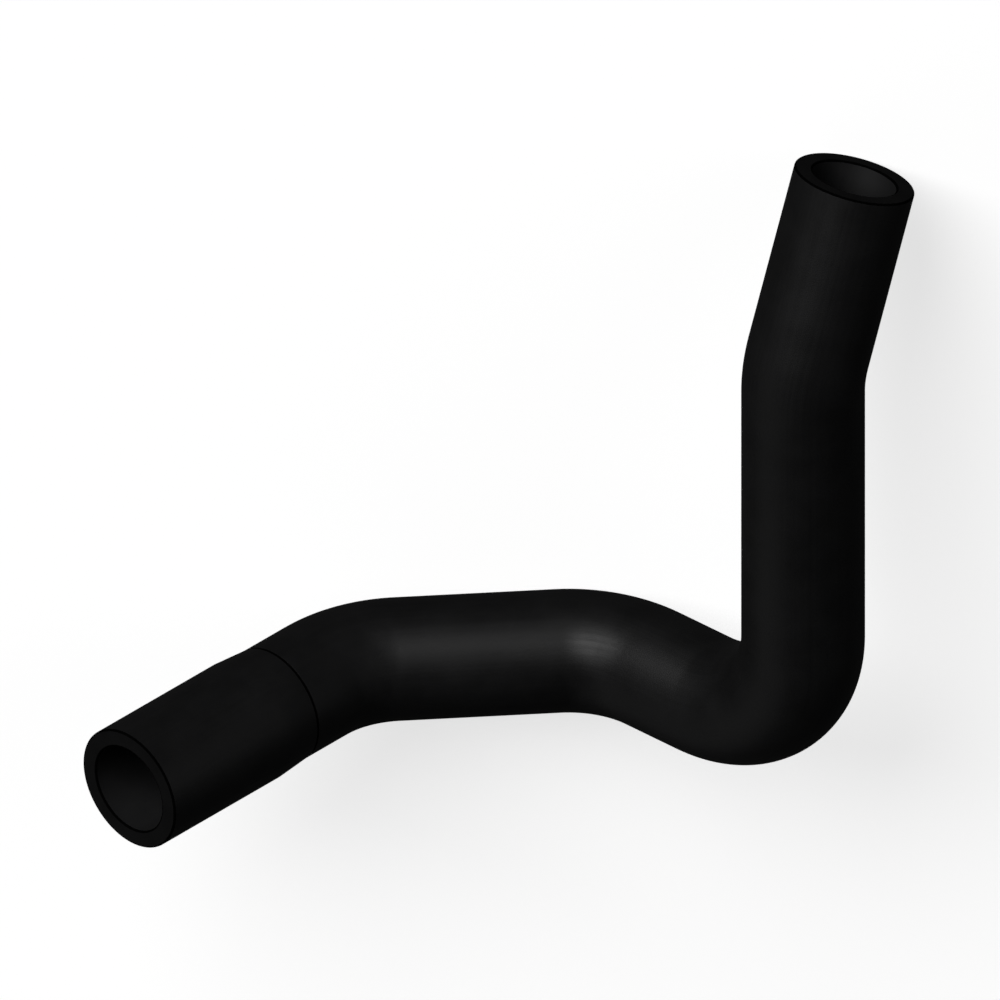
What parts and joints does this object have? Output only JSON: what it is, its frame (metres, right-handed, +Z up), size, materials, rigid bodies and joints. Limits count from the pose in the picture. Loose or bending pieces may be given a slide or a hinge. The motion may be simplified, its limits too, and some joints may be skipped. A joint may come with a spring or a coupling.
{
  "type": "radiator hose",
  "caption": "Thick-walled moulded rubber coolant hose with several bends and a larger cuffed end, clamped at each end onto a spigot of a car's cooling system.",
  "frame": {"origin": "on the floor below the middle of the hose's box, as it lies at rest", "axes": "+Z up from the floor, Y along the middle leg with the larger end towards +Y, and the plain end towards +X"},
  "size_m": [0.2442, 0.2696, 0.0994],
  "materials": {
    "black_rubber": "satin black moulded rubber, faintly grained"
  },
  "bodies": {
    "root": {"radiator_hose": "black_rubber"}
  },
  "joints": []
}
